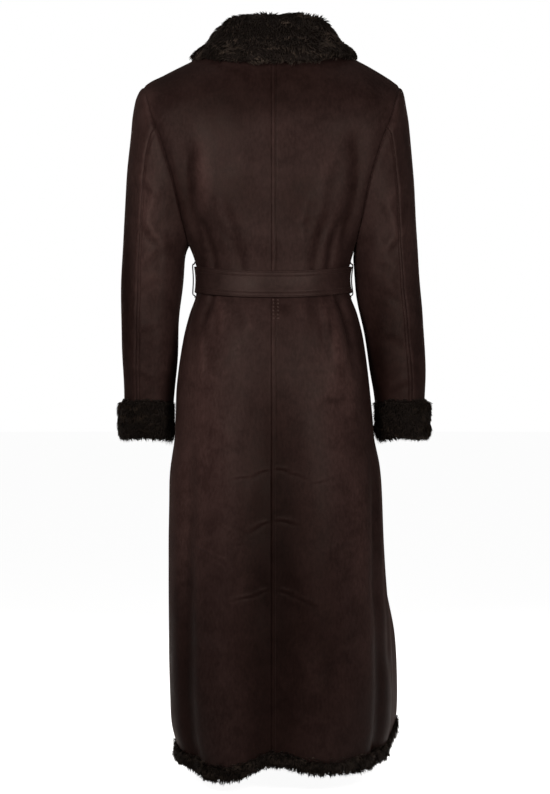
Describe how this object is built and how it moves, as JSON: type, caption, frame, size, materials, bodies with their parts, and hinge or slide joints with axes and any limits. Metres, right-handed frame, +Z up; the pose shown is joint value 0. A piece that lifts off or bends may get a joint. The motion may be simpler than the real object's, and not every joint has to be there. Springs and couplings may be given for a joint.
{
  "type": "coat",
  "caption": "Long belted coat in dark brown suede-faced cloth with a fur shawl collar, turned-back fur cuffs and a fur hem, filled out as if worn.",
  "frame": {"origin": "middle of the neck, level with the points where the shoulder seams meet the neckline, where the wearer's neck and shoulders hold it", "axes": "+Z up, +Y towards the back, +X towards the wearer's left; the front faces -Y"},
  "size_m": [0.552, 0.3096, 1.2893],
  "materials": {
    "suede": "napped faux suede, matt with a soft sheen",
    "fur": "short plush faux fur, near-black brown with lighter strands"
  },
  "bodies": {
    "root": {"back_left": "suede", "back_right": "suede", "front_left": "suede", "front_right": "suede", "sleeve_top_left": "suede", "sleeve_under_left": "suede", "sleeve_top_right": "suede", "sleeve_under_right": "suede", "belt": "suede", "belt_knot": "suede", "belt_end_left": "suede", "belt_end_right": "suede", "belt_loop_left": "suede", "belt_loop_right": "suede", "collar_fur": "fur", "cuff_fur_left": "fur", "cuff_fur_right": "fur", "hem_fur_back": "fur", "hem_fur_front_left": "fur", "hem_fur_front_right": "fur"}
  },
  "joints": []
}
